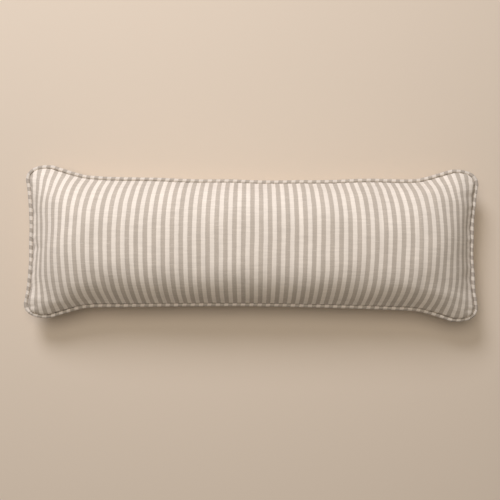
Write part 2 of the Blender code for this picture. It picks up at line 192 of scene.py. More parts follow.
COIL_PITCH = 0.0015
COIL_WIRE = 0.00034
COIL_NEAR = 0.00030
COIL_FAR = 0.0030
COIL_BASE = 0.0003
COIL_TOP = 0.0023
COIL_OVERRUN = 0.005
COIL_STEPS = 12
COIL_SQUARENESS = 0.8

STOP_START = 0.0056
STOP_LENGTH = 0.0024
STOP_HALF_WIDTH = 0.0030
STOP_SLIT = 0.0005
STOP_GAP = 0.0003

# The pull's hole and recess, and how far a cutter reaches past what it cuts
HOLE_RADIUS = 0.00144
RECESS_FLOOR = 0.00032
CUT = 0.002

# Stitches along the zipper. The path of one is (share of its length, rise above the cloth).
STITCH = 0.0032
STITCH_GAP = 0.0005
STITCH_REACH = 0.2085
STITCH_FROM_FOLD = 0.0022
STITCH_PATH = (
    (0.0, -0.0003), (0.12, 0.00008), (0.35, 0.00020), (0.65, 0.00020), (0.88, 0.00008), (1.0, -0.0003)
)
THREAD = 0.00024

# Care label: its middle and half width in x, its ends in q, and how it lies under the cloth
LABEL_MIDDLE = -0.288
LABEL_HALF = 0.012
LABEL_ENDS = (-0.90, -0.66)
LABEL_DEPTH = 0.0020
LABEL_CURL = 0.0005
LABEL_CLOTH = 0.00025

# Stripes of the cloth
STRIPE_PITCH = 0.0167
STRIPE_SHIFT = 0.001
STRIPE_HALF_DARK = 0.0043
STRIPE_EDGE = 0.00055
YARN = 0.0006

# How the stripes wander: (grain along the length, grain across it, width)
STRIPE_WANDERS = ((0.002, 0.010, 0.0009), (0.090, 0.085, 0.0026))

# Other weaves
CALICO_YARN = 0.0005
TWILL_RIB = 0.0011
TWILL_THREAD = 0.0004

# Colours, linear
CREAM = (0.870, 0.790, 0.700)
GREY = (0.550, 0.484, 0.412)
SLUB_CREAM = (0.93, 0.86, 0.77)
CALICO = (0.84, 0.81, 0.75)
HUSK = (0.55, 0.46, 0.34)
WOOL = (0.90, 0.90, 0.88)
TAPE_BEIGE = (0.66, 0.60, 0.52)
NYLON_BEIGE = (0.68, 0.62, 0.54)
BRASS_DULL = (0.36, 0.27, 0.15)
BRASS_BRIGHT = (0.72, 0.58, 0.36)
THREAD_CREAM = (0.80, 0.73, 0.64)
SATIN_WHITE = (0.88, 0.87, 0.84)

# Stage. A lamp is (azimuth, elevation, distance, size, power, colour), with the angles in degrees.
# The floor lies a hair below the pillow, so that no two faces share a plane.
FLOOR_HALF = 6.0
FLOOR_GAP = 0.0002
FLOOR_COLOUR = (0.705, 0.603, 0.492)
FILL_COLOUR = (1.0, 0.940, 0.860)
FILL_STRENGTH = 0.11
LAMPS = {
    "key": (22.0, 40.5, 3.3, 1.30, 68.0, (0.900, 0.914, 1.0)),
    "overhead": (25.0, 77.0, 3.2, 2.3, 50.5, (1.0, 0.910, 0.800)),
}
CAMERA_PLACE = (-0.003, -0.0135, 1.514)
CAMERA_LENS = 52.55
CAMERA_ROLL = 0.5


# ---------------------------------------------------------------- shape of the cover

def smooth(value, low, high):
    """0 before `low`, 1 beyond `high`, and a smooth step between. `low` may be the larger."""
    share = np.clip((np.asarray(value, float) - low) / (high - low), 0.0, 1.0)
    return share * share * (3 - 2 * share)


def flat_point(p, q):
    """Where points of the square (p, q) lie on the flat cover, whose corners are round."""
    corner_p = 1 - CORNER_RADIUS / FLAT_HALF_LENGTH
    corner_q = 1 - CORNER_RADIUS / FLAT_HALF_WIDTH
    over_p = (np.abs(p) - corner_p) / (1 - corner_p)
    over_q = (np.abs(q) - corner_q) / (1 - corner_q)
    both = (over_p > 0) & (over_q > 0)
    round_p = over_p * np.sqrt(np.clip(1 - over_q**2 / 2, 0, 1))
    round_q = over_q * np.sqrt(np.clip(1 - over_p**2 / 2, 0, 1))
    round_x = FLAT_HALF_LENGTH - CORNER_RADIUS * (1 - round_p)
    round_y = FLAT_HALF_WIDTH - CORNER_RADIUS * (1 - round_q)
    x = np.where(both, round_x, np.abs(p) * FLAT_HALF_LENGTH)
    y = np.where(both, round_y, np.abs(q) * FLAT_HALF_WIDTH)
    return np.sign(p) * x, np.sign(q) * y


def half_width(s):
    ear = np.clip((np.abs(s) - EAR_START) / (EAR_PEAK - EAR_START), 0, 1)
    return SIDE_WAIST + SIDE_BOW * np.abs(s) ** SIDE_BOW_POWER + EAR_RISE * ear**EAR_POWER


def half_length(t):
    return END_WAIST + END_EAR * np.minimum(np.abs(t) / END_EAR_PEAK, 1.0) ** 2


def plan_point(p, q):
    """Where the points lie in plan once the cover is stuffed, before the cloth finds its shape."""
    flat_x, flat_y = flat_point(p, q)
    s = flat_x / FLAT_HALF_LENGTH
    t = flat_y / FLAT_HALF_WIDTH
    across = np.sin(ARC_HALF_ANGLE * t) / math.sin(ARC_HALF_ANGLE)
    return s * half_length(t), across * half_width(s)


def crown_share(p, q):
    low = math.cos(ARC_HALF_ANGLE)
    arc = np.clip(np.cos(ARC_HALF_ANGLE * q) - low, 0, None) / (1 - low)
    steepness, fullness = END_PROFILE
    end = np.clip(1 - np.abs(p) ** steepness, 0, None) ** fullness
    return (arc * end) ** (1 - CORNER_FULLNESS * (p * q) ** 2)


def first_shape(p, q, side):
    """The CAD model's face, as points about the seam plane."""
    x, y = plan_point(p, q)
    return np.stack([x, y, side * CROWN[side] * crown_share(p, q)], -1)


def zipper_hold(p, q):
    """1 where the zipper keeps the back panel straight, fading to 0 away from it."""
    return smooth(np.abs(p), *HOLD_LIMITS_P) * smooth(q, *HOLD_LIMITS_Q)


# ---------------------------------------------------------------- cloth simulation

def spacing(a, b):
    return np.linalg.norm(a - b, axis=-1)


def panel_grid(finer):
    """(p, q) of the panel's grid points, with each cell of the simulation split `finer` ways."""
    p = np.linspace(-1, 1, GRID[0] * finer + 1)
    q = np.linspace(-1, 1, GRID[1] * finer + 1)
    return np.meshgrid(p, q, indexing="ij")


def border_of(grid):
    """True along the four edges of a grid."""
    border = np.ones(grid.shape, bool)
    border[1:-1, 1:-1] = False
    return border


class ClothPanel:
    """A grid of cloth with its edge sewn down, held by its threads and pushed out by the filling."""

    def __init__(self, side):
        self.side = side
        self.p, self.q = panel_grid(1)
        self.target = first_shape(self.p, self.q, side)
        self.points = self.target.copy()
        self.free = 1.0 - border_of(self.p)
        self.hold = zipper_hold(self.p, self.q)[..., None] if side < 0 else 0.0
        self.floor = -(SEAM_HEIGHT - PANEL_EDGE) * CROWN[side] / (CROWN[side] - PANEL_EDGE)
        self.fill = 1 - END_SLACK * smooth(np.abs(self.p), *END_SLACK_LIMITS)[..., None]
        self.springs = self.make_springs()

    def make_springs(self):
        """Threads as (first ends, second ends, rest lengths, pull, push, soft), in sets that don't
        touch each other. `pull` is the stiffness of a stretched thread, `push` of a pressed one."""
        x, y = flat_point(self.p, self.q)
        flat = np.stack([x, y], -1)
        everything = slice(None)
        springs = []
        for first in (0, 1):
            ends = slice(first, -1, 2), slice(first + 1, None, 2)
            along = [(part, everything) for part in ends]
            across = [(everything, part) for part in ends]
            springs += [(pair, 1.0, GIVE_IN_COMPRESSION, False) for pair in (along, across)]
            rising = [(ends[0], slice(None, -1)), (ends[1], slice(1, None))]
            falling = [(ends[0], slice(1, None)), (ends[1], slice(None, -1))]
            springs += [(pair, SHEAR_STIFFNESS, SHEAR_STIFFNESS, True) for pair in (rising, falling)]
        for first in range(4):
            ends = slice(first, -2, 4), slice(first + 2, None, 4)
            along = [(part, everything) for part in ends]
            across = [(everything, part) for part in ends]
            springs += [(pair, 0.0, BEND_STIFFNESS, True) for pair in (along, across)]
        return [(a, b, spacing(flat[a], flat[b]), *rest) for (a, b), *rest in springs]

    def satisfy(self, a, b, rest, pull, push):
        step = self.points[b] - self.points[a]
        length = np.sqrt((step * step).sum(-1)) + 1e-12
        excess = length - rest
        stiffness = np.where(excess > 0, pull, push)
        free_a, free_b = self.free[a], self.free[b]
        total = np.maximum(free_a + free_b, 1.0)
        move = (stiffness * excess / (length * total))[..., None] * step
        self.points[a] += move * free_a[..., None]
        self.points[b] -= move * free_b[..., None]

    def area_normals(self):
        along = np.zeros_like(self.points)
        across = np.zeros_like(self.points)
        along[1:-1] = (self.points[2:] - self.points[:-2]) / 2
        across[:, 1:-1] = (self.points[:, 2:] - self.points[:, :-2]) / 2
        return np.cross(along, across) * self.side

    def run(self):
        speed = np.zeros_like(self.points)
        free = self.free[..., None]
        for _ in range(STEPS):
            before = self.points.copy()
            rise = np.clip(np.abs(self.points[..., 2:]) / LOFT, 0, 1)
            push = PRESSURE * self.fill * (1 - rise**LOFT_POWER) * self.area_normals()
            speed = (speed * DAMPING + push) * free
            self.points += speed
            for inner in range(INNER_STEPS):
                for a, b, rest, pull, press, soft in self.springs:
                    if not soft or inner % 2 == 0:
                        self.satisfy(a, b, rest, pull, press)
            self.points += self.hold * (self.target - self.points)
            if self.side < 0:
                np.maximum(self.points[..., 2], self.floor, out=self.points[..., 2])
            speed = self.points - before
        return self.points


def grid_normals(points):
    """Unit normals of a grid of points, up for a face that is seen from above."""
    along = np.gradient(points, axis=0)
    across = np.gradient(points, axis=1)
    normal = np.cross(along, across)
    return normal / (np.linalg.norm(normal, axis=-1, keepdims=True) + 1e-12)


def finer_grid(points, times, axis):
    """Puts `times` - 1 points between each two along an axis, on a smooth curve through them."""
    points = np.moveaxis(points, axis, 0)
    before = 2 * points[:1] - points[1:2]
    after = 2 * points[-1:] - points[-2:-1]
    padded = np.concatenate([before, points, after])
    p0, p1, p2, p3 = padded[:-3], padded[1:-2], padded[2:-1], padded[3:]
    made = np.zeros(((len(points) - 1) * times + 1,) + points.shape[1:])
    for i in range(times):
        t = i / times
        bend = (2 * p0 - 5 * p1 + 4 * p2 - p3) * t**2
        twist = (3 * p1 - p0 - 3 * p2 + p3) * t**3
        made[i:-1:times] = 0.5 * (2 * p1 + (p2 - p0) * t + bend + twist)
    made[-1] = points[-1]
    return np.moveaxis(made, 0, axis)


# ---------------------------------------------------------------- hand of the cloth

def waves(x, seed, shortest, longest, count=7, y=None):
    """A sum of sines of mixed wavelengths, from about -1 to 1, along x or over the plane of x, y."""
    rng = np.random.RandomState(seed)
    total = np.zeros_like(np.asarray(x, float))
    along = x
    for _ in range(count):
        length = math.exp(rng.uniform(math.log(shortest), math.log(longest)))
        if y is not None:
            turn = rng.uniform(0, math.pi)
            along = x * math.cos(turn) + y * math.sin(turn)
        phase = rng.uniform(0, 2 * math.pi)
        total += np.sin(2 * math.pi * along / length + phase) * rng.uniform(0.5, 1.0)
    return total / math.sqrt(count)


def corner_nearness(p, q):
    """1 at the cover's corners, fading to 0 some way in from them."""
    x, y = flat_point(p, q)
    away = np.hypot(FLAT_HALF_LENGTH - np.abs(x), FLAT_HALF_WIDTH - np.abs(y))
    return smooth(away, *CORNER_LIMITS)


def puckers(along, from_seam, seed, shape):
    """Small waves along a seam that fade away from it."""
    reach, shortest, longest, height = shape
    band = smooth(from_seam, 0.0, PUCKER_START) * np.exp(-((from_seam / reach) ** 2))
    return waves(along, seed, shortest, longest) * band * height


def wrinkles(p, q, side):
    """How far the finished cloth stands out from the simulated face, in metres."""
    x, y = flat_point(p, q)
    from_side = FLAT_HALF_WIDTH - np.abs(y)
    from_end = FLAT_HALF_LENGTH - np.abs(x)
    seed = 10 if side > 0 else 20
    side_puckers = puckers(x + 0.31 * np.sign(y), from_side, seed, SIDE_PUCKERS)
    end_puckers = puckers(y + 0.57 * np.sign(x), from_end, seed + 1, END_PUCKERS)
    clear, shortest, longest, rise = COVER_LUMPS
    body = smooth(np.minimum(from_side, from_end), 0.0, clear)
    fill = waves(x, seed + 2, shortest, longest, 12, y) * body * rise
    height = side_puckers + end_puckers + fill
    for end, place, half, reach, depth in PINCHES:
        across = np.exp(-(((y - side * place) / half) ** 2))
        inwards = smooth(from_end, 0.0, PINCH_START) * np.exp(-((from_end / reach) ** 2))
        height = height - depth * across * inwards * (np.sign(x) == end)
    return height * (1 - CORNER_FLATTENING * corner_nearness(p, q))


def settled(points):
    """Lets the whole soft body sit unevenly. What is near the floor or the zipper doesn't move."""
    points = np.array(points, float)
    x, y, z = points[..., 0].copy(), points[..., 1].copy(), points[..., 2].copy()
    clear = 1 - smooth(np.abs(x), *STILL_LIMITS_X) * smooth(y, *STILL_LIMITS_Y)
    off_floor = smooth(z, *OFF_FLOOR_LIMITS)
    move = clear * off_floor
    for right, back, *shift in EARS:
        near = smooth(x * right, *EAR_LIMITS_X) * smooth(y * back, *EAR_LIMITS_Y) * off_floor
        for axis in range(3):
            points[..., axis] += near * shift[axis]
    edge = np.clip(np.abs(y) / SIDE_WAIST, 0, 1) ** 3
    end = np.clip(np.abs(x) / END_WAIST, 0, 1) ** 6
    height, *wave = SIDE_WANDER
    points[..., 1] += move * edge * height * waves(x + 0.4 * np.sign(y), *wave)
    height, *wave = END_WANDER
    points[..., 0] += move * end * height * waves(y + 0.4 * np.sign(x), *wave)
    height, *wave = RISE_WANDER
    points[..., 2] += move * height * waves(x + 0.35 * np.sign(y) * edge, *wave)
    return points


class Face:
    """One face of the cover after the simulation, on the fine grid."""

    def __init__(self, side):
        self.side = side
        self.coarse = ClothPanel(side).run()
        fine = finer_grid(finer_grid(self.coarse, FINER, 0), FINER, 1)
        self.p, self.q = panel_grid(FINER)
        edge = first_shape(self.p, self.q, side)
        border = border_of(self.p)
        fine[border] = edge[border]
        if side < 0:
            hold = smooth(zipper_hold(self.p, self.q), 0.5, 1.0)[..., None]
            fine = fine + hold * (edge - fine)
        calm = CORNER_CALM * corner_nearness(self.p, self.q)[..., None]
        fine = fine + calm * (edge - fine)
        crown = CROWN[side]
        fine[..., 2] = side * PANEL_EDGE + fine[..., 2] * (crown - PANEL_EDGE) / crown
        self.smooth_points = fine
        fine = fine + self.hug()
        out = grid_normals(fine) * side
        height = wrinkles(self.p, self.q, side)
        if side < 0:
            height = height * (1 - zipper_hold(self.p, self.q))
            height = height * smooth(fine[..., 2], -SEAM_HEIGHT + 0.002, -SEAM_HEIGHT + 0.016)
        height[border] = 0
        fine = fine + out * height[..., None]
        fine[..., 2] = np.maximum(fine[..., 2] + SEAM_HEIGHT, 0.0)
        self.points = settled(fine)

    def hug(self):
        """How far the cloth next to the seam is pushed out against the piping."""
        x, y = flat_point(self.p, self.q)
        corner = FLAT_HALF_LENGTH - CORNER_RADIUS, FLAT_HALF_WIDTH - CORNER_RADIUS
        over_x = np.maximum(np.abs(x) - corner[0], 0)
        over_y = np.maximum(np.abs(y) - corner[1], 0)
        from_seam = CORNER_RADIUS - np.hypot(over_x, over_y)
        from_seam = np.where(over_x == 0, FLAT_HALF_WIDTH - np.abs(y), from_seam)
        from_seam = np.where((over_y == 0) & (over_x > 0), FLAT_HALF_LENGTH - np.abs(x), from_seam)
        from_seam = np.where((over_y == 0) & (over_x == 0), CORNER_RADIUS, from_seam)
        share = smooth(from_seam, 0.0, HUG_PEAK) * smooth(from_seam, HUG_REACH, HUG_PEAK)
        weight_x, weight_y = over_x + 1e-9, over_y + 1e-9
        push = HUG * share / np.hypot(weight_x, weight_y)
        if self.side < 0:
            push = push * (1 - zipper_hold(self.p, self.q))
        return np.stack([push * weight_x * np.sign(x), push * weight_y * np.sign(y), 0 * push], -1)

    def coarse_uv(self):
        """The flat map on a grid as coarse as the simulation's."""
        return np.stack(flat_point(self.p[::FINER, ::FINER], self.q[::FINER, ::FINER]), -1)

    def shrunk(self, side_inset, crown_inset, edge):
        """The face drawn in for what is inside the cover, on the coarse grid."""
        points = self.smooth_points[::FINER, ::FINER].copy()
        flat = self.coarse_uv()
        s = flat[..., 0] / FLAT_HALF_LENGTH
        t = flat[..., 1] / FLAT_HALF_WIDTH
        points[..., 0] *= 1 - side_inset / half_length(t)
        points[..., 1] *= 1 - side_inset / half_width(s)
        crown = CROWN[self.side]
        rise = (np.abs(points[..., 2]) - PANEL_EDGE) / (crown - PANEL_EDGE)
        points[..., 2] = self.side * (edge + rise * (crown - crown_inset - edge)) + SEAM_HEIGHT
        points[..., 2] = np.maximum(points[..., 2], crown_inset)
        return settled(points)

    def at(self, p, q):
        """The point and the outward normal at (p, q)."""
        i = (p + 1) / 2 * GRID[0] * FINER
        j = (q + 1) / 2 * GRID[1] * FINER
        i0, j0 = int(i), int(j)
        a, b = i - i0, j - j0
        block = self.points[i0:i0 + 2, j0:j0 + 2]
        point = (1 - a) * ((1 - b) * block[0, 0] + b * block[0, 1])
        point = point + a * ((1 - b) * block[1, 0] + b * block[1, 1])
        normal = np.cross(block[1, 0] - block[0, 0], block[0, 1] - block[0, 0]) * self.side
        return Vector(point), Vector(normal).normalized()


# ---------------------------------------------------------------- mesh helpers

def linked(name, data):
    """A new object of the data, in the scene."""
    obj = bpy.data.objects.new(name, data)
    bpy.context.collection.objects.link(obj)
    return obj


def new_object(name, vertices, faces, finish, uv=None, smooth_shading=True):
    mesh = bpy.data.meshes.new(name)
    mesh.from_pydata([tuple(v) for v in vertices], [], faces)
    mesh.update()
    if uv is not None:
        layer = mesh.uv_layers.new(name="flat")
        loops = np.zeros(len(mesh.loops), int)
        mesh.loops.foreach_get("vertex_index", loops)
        layer.data.foreach_set("uv", np.asarray(uv, float)[loops].ravel())
    if smooth_shading:
        mesh.shade_smooth()
    mesh.materials.append(finish)
    return linked(name, mesh)


def grid_faces(rows, columns, closed_rows=False, closed_columns=False):
    faces = []
    for i in range(rows if closed_rows else rows - 1):
        for j in range(columns if closed_columns else columns - 1):
            k, m = (i + 1) % rows, (j + 1) % columns
            faces.append((i * columns + j, k * columns + j, k * columns + m, i * columns + m))
    return faces


def thicken(obj, thickness):
    solid = obj.modifiers.new("thickness", "SOLIDIFY")
    solid.thickness = thickness
    solid.offset = -1
    solid.use_even_offset = False
    return obj


def edge_numbers(rows, columns):
    """The vertex numbers round a grid, anticlockwise seen from above."""
    bottom = [i * columns for i in range(rows - 1)]
    right = [(rows - 1) * columns + j for j in range(columns - 1)]
    top = [i * columns + columns - 1 for i in range(rows - 1, 0, -1)]
    left = [j for j in range(columns - 1, 0, -1)]
    return bottom + right + top + left


def outward(loop):
    """Unit normals in plan of a closed anticlockwise loop of points."""
    along = np.roll(loop, -1, 0) - np.roll(loop, 1, 0)
    normal = np.stack([along[:, 1], -along[:, 0], np.zeros(len(loop))], -1)
    return normal / np.linalg.norm(normal, axis=1, keepdims=True)


def cover_panel(name, face, finish):
    """A face of the cover with its seam allowance turned in, and the zipper's opening cut out."""
    rows, columns = face.p.shape
    vertices = face.points.reshape(-1, 3)
    p, q = face.p.ravel(), face.q.ravel()
    uv = np.stack(flat_point(p, q), -1)
    ring = edge_numbers(rows, columns)
    loop = vertices[ring]
    folded = loop - outward(loop) * ALLOWANCE
    uv_folded = uv[ring] * (1 + ALLOWANCE / FLAT_HALF_WIDTH)

    def kept(middle_p, middle_q):
        return face.side > 0 or middle_q > -ZIP_STRIP_ROW or abs(middle_p) > ZIP_P

    faces = []
    for cell in grid_faces(rows, columns):
        if kept(p[list(cell)].mean(), q[list(cell)].mean()):
            faces.append(cell if face.side > 0 else cell[::-1])
    first = len(vertices)
    for i, here in enumerate(ring):
        j = (i + 1) % len(ring)
        there = ring[j]
        if kept((p[here] + p[there]) / 2, (q[here] + q[there]) / 2):
            cell = (first + i, first + j, there, here)
            faces.append(cell if face.side > 0 else cell[::-1])
    vertices = np.concatenate([vertices, folded])
    uv = np.concatenate([uv, uv_folded])
    used = np.unique([index for cell in faces for index in cell])
    place = {old: new for new, old in enumerate(used)}
    faces = [[place[index] for index in cell] for cell in faces]
    return thicken(new_object(name, vertices[used], faces, finish, uv[used]), CLOTH)


def seam_loop(step):
    """(points along the seam at even steps, how far along it each one is, the seam's length)."""
    run = np.linspace(-1, 1, SEAM_SAMPLES + 1)[:-1]
    still = np.ones(SEAM_SAMPLES)
    p = np.concatenate([run, still, -run, -still])
    q = np.concatenate([-still, run, still, -run])
    x, y = plan_point(p, q)
    loop = settled(np.stack([x, y, np.full(len(x), SEAM_HEIGHT)], -1))
    closed = np.concatenate([loop, loop[:1]])
    lengths = np.concatenate([[0], np.cumsum(spacing(closed[1:], closed[:-1]))])
    count = int(round(lengths[-1] / step))
    at = np.arange(count) * lengths[-1] / count
    points = np.stack([np.interp(at, lengths, closed[:, axis]) for axis in range(3)], -1)
    return points, at, lengths[-1]


def swept_round(name, profile_at, points, normals, finish, uv_at):
    """A closed profile carried round the seam. profile_at(i) gives its (out, up) points there."""
    vertices, uv = [], []
    for i, (point, normal) in enumerate(zip(points, normals)):
        for j, (out, up) in enumerate(profile_at(i)):
            vertices.append(point + normal * out + np.array((0, 0, up)))
            uv.append(uv_at(i, j))
    columns = len(vertices) // len(points)
    faces = grid_faces(len(points), columns, closed_rows=True, closed_columns=True)
    return new_object(name, vertices, faces, finish, uv)


def pipe_arc(radius, level, count):
    start = math.pi - math.asin(level / radius)
    turns = np.linspace(start, -start, count)
    return radius * np.cos(turns), radius * np.sin(turns)


def piping(finish):
    """The cloth tube and its flange, slightly gathered, with the stripes crossing it."""
    points, at, total = seam_loop(PIPE_STEP)
    normals = outward(points)
    gather = sum(height * waves(at, *wave) for height, *wave in PIPE_GATHERS)
    height, *wave = PIPE_TWIST
    twist = height * waves(at, *wave)
    out_x, out_y = pipe_arc(PIPE_RADIUS, FLANGE_LEVEL, 21)
    in_x, in_y = pipe_arc(PIPE_BORE, FLANGE_LEVEL - PIPE_CLOTH, 13)
    low = FLANGE_LEVEL - PIPE_CLOTH

    def profile(i):
        swell = 1 + gather[i] / PIPE_RADIUS
        shell = [(PIPE_CENTRE + x * swell, y * swell) for x, y in zip(out_x, out_y)]
        bore = [(PIPE_CENTRE + x, y) for x, y in zip(in_x, in_y)]
        made = [(-ALLOWANCE, FLANGE_LEVEL)] + shell + [(-ALLOWANCE, -FLANGE_LEVEL)]
        return made + [(-ALLOWANCE, -low)] + bore[::-1] + [(-ALLOWANCE, low)]

    around = [0.0]
    outline = profile(0)
    for here, there in zip(outline, outline[1:]):
        around.append(around[-1] + math.hypot(there[0] - here[0], there[1] - here[1]))
    repeats = round(total / PIPE_DASH)
    stretch = repeats * STRIPE_PITCH / total

    def uv(i, j):
        return at[i] * stretch + PIPE_SLANT * around[j] + twist[i], around[j]

    return swept_round("piping", profile, points, normals, finish, uv)


def piping_cord(finish):
    """The cord of twisted strands inside the piping."""
    points, at, _ = seam_loop(2 * PIPE_STEP)
    normals = outward(points)
    turns = np.arange(CORD_SIDES) * 2 * math.pi / CORD_SIDES

    def profile(i):
        lay = 2 * math.pi * at[i] / CORD_LAY
        radius = PIPE_CORD_RADIUS * (1 - CORD_GROOVE * (1 + np.cos(CORD_STRANDS * turns + lay)))
        return zip(PIPE_CENTRE + radius * np.cos(turns), radius * np.sin(turns))

    def uv(i, j):
        return at[i], turns[j] * PIPE_CORD_RADIUS

    return swept_round("piping_cord", profile, points, normals, finish, uv)


def casing_half(name, face, finish):
    """Half of the insert's casing, which sits loosely inside the cover."""
    points = face.shrunk(INSERT_SIDE_INSET, INSERT_CROWN_INSET, CASING_EDGE)
    rows, columns = points.shape[:2]
    faces = grid_faces(rows, columns)
    if face.side < 0:
        faces = [cell[::-1] for cell in faces]
    uv = face.coarse_uv().reshape(-1, 2)
    return thicken(new_object(name, points.reshape(-1, 3), faces, finish, uv), CASING)


def filling(front, back, finish):
    """The filling as one closed lumpy body."""
    top = front.shrunk(FILL_SIDE_INSET, FILL_CROWN_INSET, 0.0)
    bottom = back.shrunk(FILL_SIDE_INSET, FILL_CROWN_INSET, 0.0)
    rows, columns = top.shape[:2]
    count = rows * columns
    ring = set(edge_numbers(rows, columns))
    height, *grain = FILL_LUMPS
    lump = height * waves(top[..., 0], *grain, 12, top[..., 1])
    lump[border_of(lump)] = 0
    top[..., 2] -= np.abs(lump)
    vertices = list(top.reshape(-1, 3))
    lower = {}
    for index, point in enumerate(bottom.reshape(-1, 3)):
        if index in ring:
            lower[index] = index
        else:
            lower[index] = len(vertices)
            vertices.append(point)
    cells = grid_faces(rows, columns)
    faces = list(cells) + [tuple(lower[index] for index in cell[::-1]) for cell in cells]
    uv = front.coarse_uv().reshape(-1, 2)
    uv = np.concatenate([uv, [uv[i] for i in range(count) if i not in ring]])
    return new_object("filling", vertices, faces, finish, uv)


# ---------------------------------------------------------------- zipper

class ZipFrame:
    """The zipper's own axes: x along the pillow, `up` towards the seam, `out` away from the pillow."""

    def __init__(self):
        joints = {joint["name"]: joint for joint in frame["joints"]}
        hinge = joints["pull_hinge"]
        self.up = Vector(hinge["axis"]).normalized()
        self.out = Vector((1, 0, 0)).cross(self.up)
        self.hinge = Vector(hinge["pos_m"])
        self.centre = self.hinge - self.out * PULL_AXIS_RISE
        self.centre.x = 0.0

    def place(self, x, up, out):
        return self.centre + Vector((x, 0, 0)) + self.up * up + self.out * out

    def matrix(self, x=0.0):
        axes = Matrix((Vector((1, 0, 0)), self.up, self.out)).transposed().to_4x4()
        return Matrix.Translation(self.place(x, 0, 0)) @ axes


def ribbon(name, rows, finish, uv, thickness):
    columns = len(rows[0])
    vertices = [point for row in rows for point in row]
    faces = [(a, d, c, b) for a, b, c, d in grid_faces(len(rows), columns)]
    return thicken(new_object(name, vertices, faces, finish, uv), thickness)


def tape_rows(corners_at):
    """Rows of points along the tape, each through the corners of its cross-section there."""
    rows, uv = [], []
    count = int(2 * TAPE_REACH / TAPE_STEP)
    for i in range(count + 1):
        x = TAPE_REACH * (2 * i / count - 1)
        corners = corners_at(x)
        row, along = [corners[0]], [0.0]
        for here, there in zip(corners, corners[1:]):
            for share in (1 / 3, 2 / 3, 1.0):
                row.append(here.lerp(there, share))
                along.append(along[-1] + (there - here).length / 3)
        rows.append(row)
        uv += [(x, place) for place in along]
    return rows, uv


def cad_back(p, q):
    """A point of the back panel as the zipper holds it, and its outward normal."""
    def point(p, q):
        made = first_shape(np.array(p), np.array(q), -1)
        height = made[2] * (CROWN[-1] - PANEL_EDGE) / CROWN[-1] - PANEL_EDGE + SEAM_HEIGHT
        return Vector((made[0], made[1], height))

    step = 0.002
    along = point(p + step, q) - point(p - step, q)
    across = point(p, q + step) - point(p, q - step)
    return point(p, q), across.cross(along).normalized()


def zipper_tapes(zipper, finish):
    """The two tapes behind the opening: one from the seam, one under the back panel's fold."""
    def upper_corners(x):
        seam, _ = cad_back(x / (END_WAIST + END_EAR), -1.0)
        corner = Vector((x, seam.y + 2 * CLOTH + SEAM_GAP, seam.z - TAPE_DEPTH))
        flange = corner + Vector((0, ALLOWANCE, 0))
        return [flange, corner, zipper.place(x, TAPE_BEND, 0), zipper.place(x, TAPE_EDGE, 0)]

    def lower_corners(x):
        made = [zipper.place(x, -TAPE_EDGE, 0), zipper.place(x, -TAPE_BEND, 0)]
        for q in TAPE_ROWS:
            point, normal = cad_back(x / (END_WAIST + END_EAR), q)
            point = point - normal * TAPE_DEPTH
            point.x = x
            made.append(point)
        return made

    pieces = []
    for name, corners in (("tape_upper", upper_corners), ("tape_lower", lower_corners)):
        rows, uv = tape_rows(corners)
        pieces.append(ribbon(name, rows, finish, uv, TAPE))
    return pieces


def tube(path, radius, sides):
    """Vertices and faces of a round tube along a path, closed at both ends."""
    vertices, faces = [], []
    side = Vector((0.3, 0.2, 1.0)).normalized()
    for i, point in enumerate(path):
        ahead = path[min(i + 1, len(path) - 1)]
        behind = path[max(i - 1, 0)]
        along = (ahead - behind).normalized()
        side = (side - along * side.dot(along)).normalized()
        other = along.cross(side)
        for k in range(sides):
            turn = 2 * math.pi * k / sides
            vertices.append(point + (side * math.cos(turn) + other * math.sin(turn)) * radius)
    faces = [tuple(cell) for cell in grid_faces(len(path), sides, closed_columns=True)]
    faces = [cell[::-1] for cell in faces]
    faces.append(tuple(range(sides))[::-1])
    faces.append(tuple((len(path) - 1) * sides + k for k in range(sides)))
    return vertices, faces


def coil(name, zipper, side, finish):
    """One spiral of the zipper, wound round its cord and set half a turn from the other one."""
    middle = (COIL_NEAR + COIL_FAR) / 2
    half = (COIL_FAR - COIL_NEAR) / 2 - COIL_WIRE
    centre_out = (COIL_BASE + COIL_TOP) / 2
    half_out = (COIL_TOP - COIL_BASE) / 2 - COIL_WIRE
    length = SLIDER_REST + COIL_OVERRUN - CHAIN_START - 2 * COIL_WIRE
    count = int(length / COIL_PITCH * COIL_STEPS)
    path = []
    for i in range(count + 1):
        turn = 2 * math.pi * i / COIL_STEPS + (math.pi if side < 0 else 0)
        across = math.copysign(abs(math.cos(turn)) ** COIL_SQUARENESS, math.cos(turn))
        x = CHAIN_START + COIL_WIRE + length * i / count
        out = centre_out + half_out * math.sin(turn)
        path.append(zipper.place(x, side * (middle - half * across), out))
    vertices, faces = tube(path, COIL_WIRE, 5)
    return new_object(name, vertices, faces, finish)


def bevelled(obj, width, segments=2, angle=0.6):
    bevel = obj.modifiers.new("edges", "BEVEL")
    bevel.width = width
    bevel.segments = segments
    bevel.limit_method = "ANGLE"
    bevel.angle_limit = angle
    obj.data.shade_smooth()
    return obj


def prism(outline, low, high, axes="XY"):
    """A bmesh of an outline extruded between two levels. axes says which plane it is drawn in."""
    shape = bmesh.new()

    def vertex(a, b, level):
        return {"XY": (a, b, level), "XZ": (a, level, b), "YZ": (level, a, b)}[axes]

    ring = [shape.verts.new(vertex(a, b, low)) for a, b in outline]
    face = shape.faces.new(ring)
    grown = bmesh.ops.extrude_face_region(shape, geom=[face])
    moved = [v for v in grown["geom"] if isinstance(v, bmesh.types.BMVert)]
    bmesh.ops.translate(shape, verts=moved, vec=vertex(0, 0, high - low))
    bmesh.ops.recalc_face_normals(shape, faces=shape.faces)
    return shape


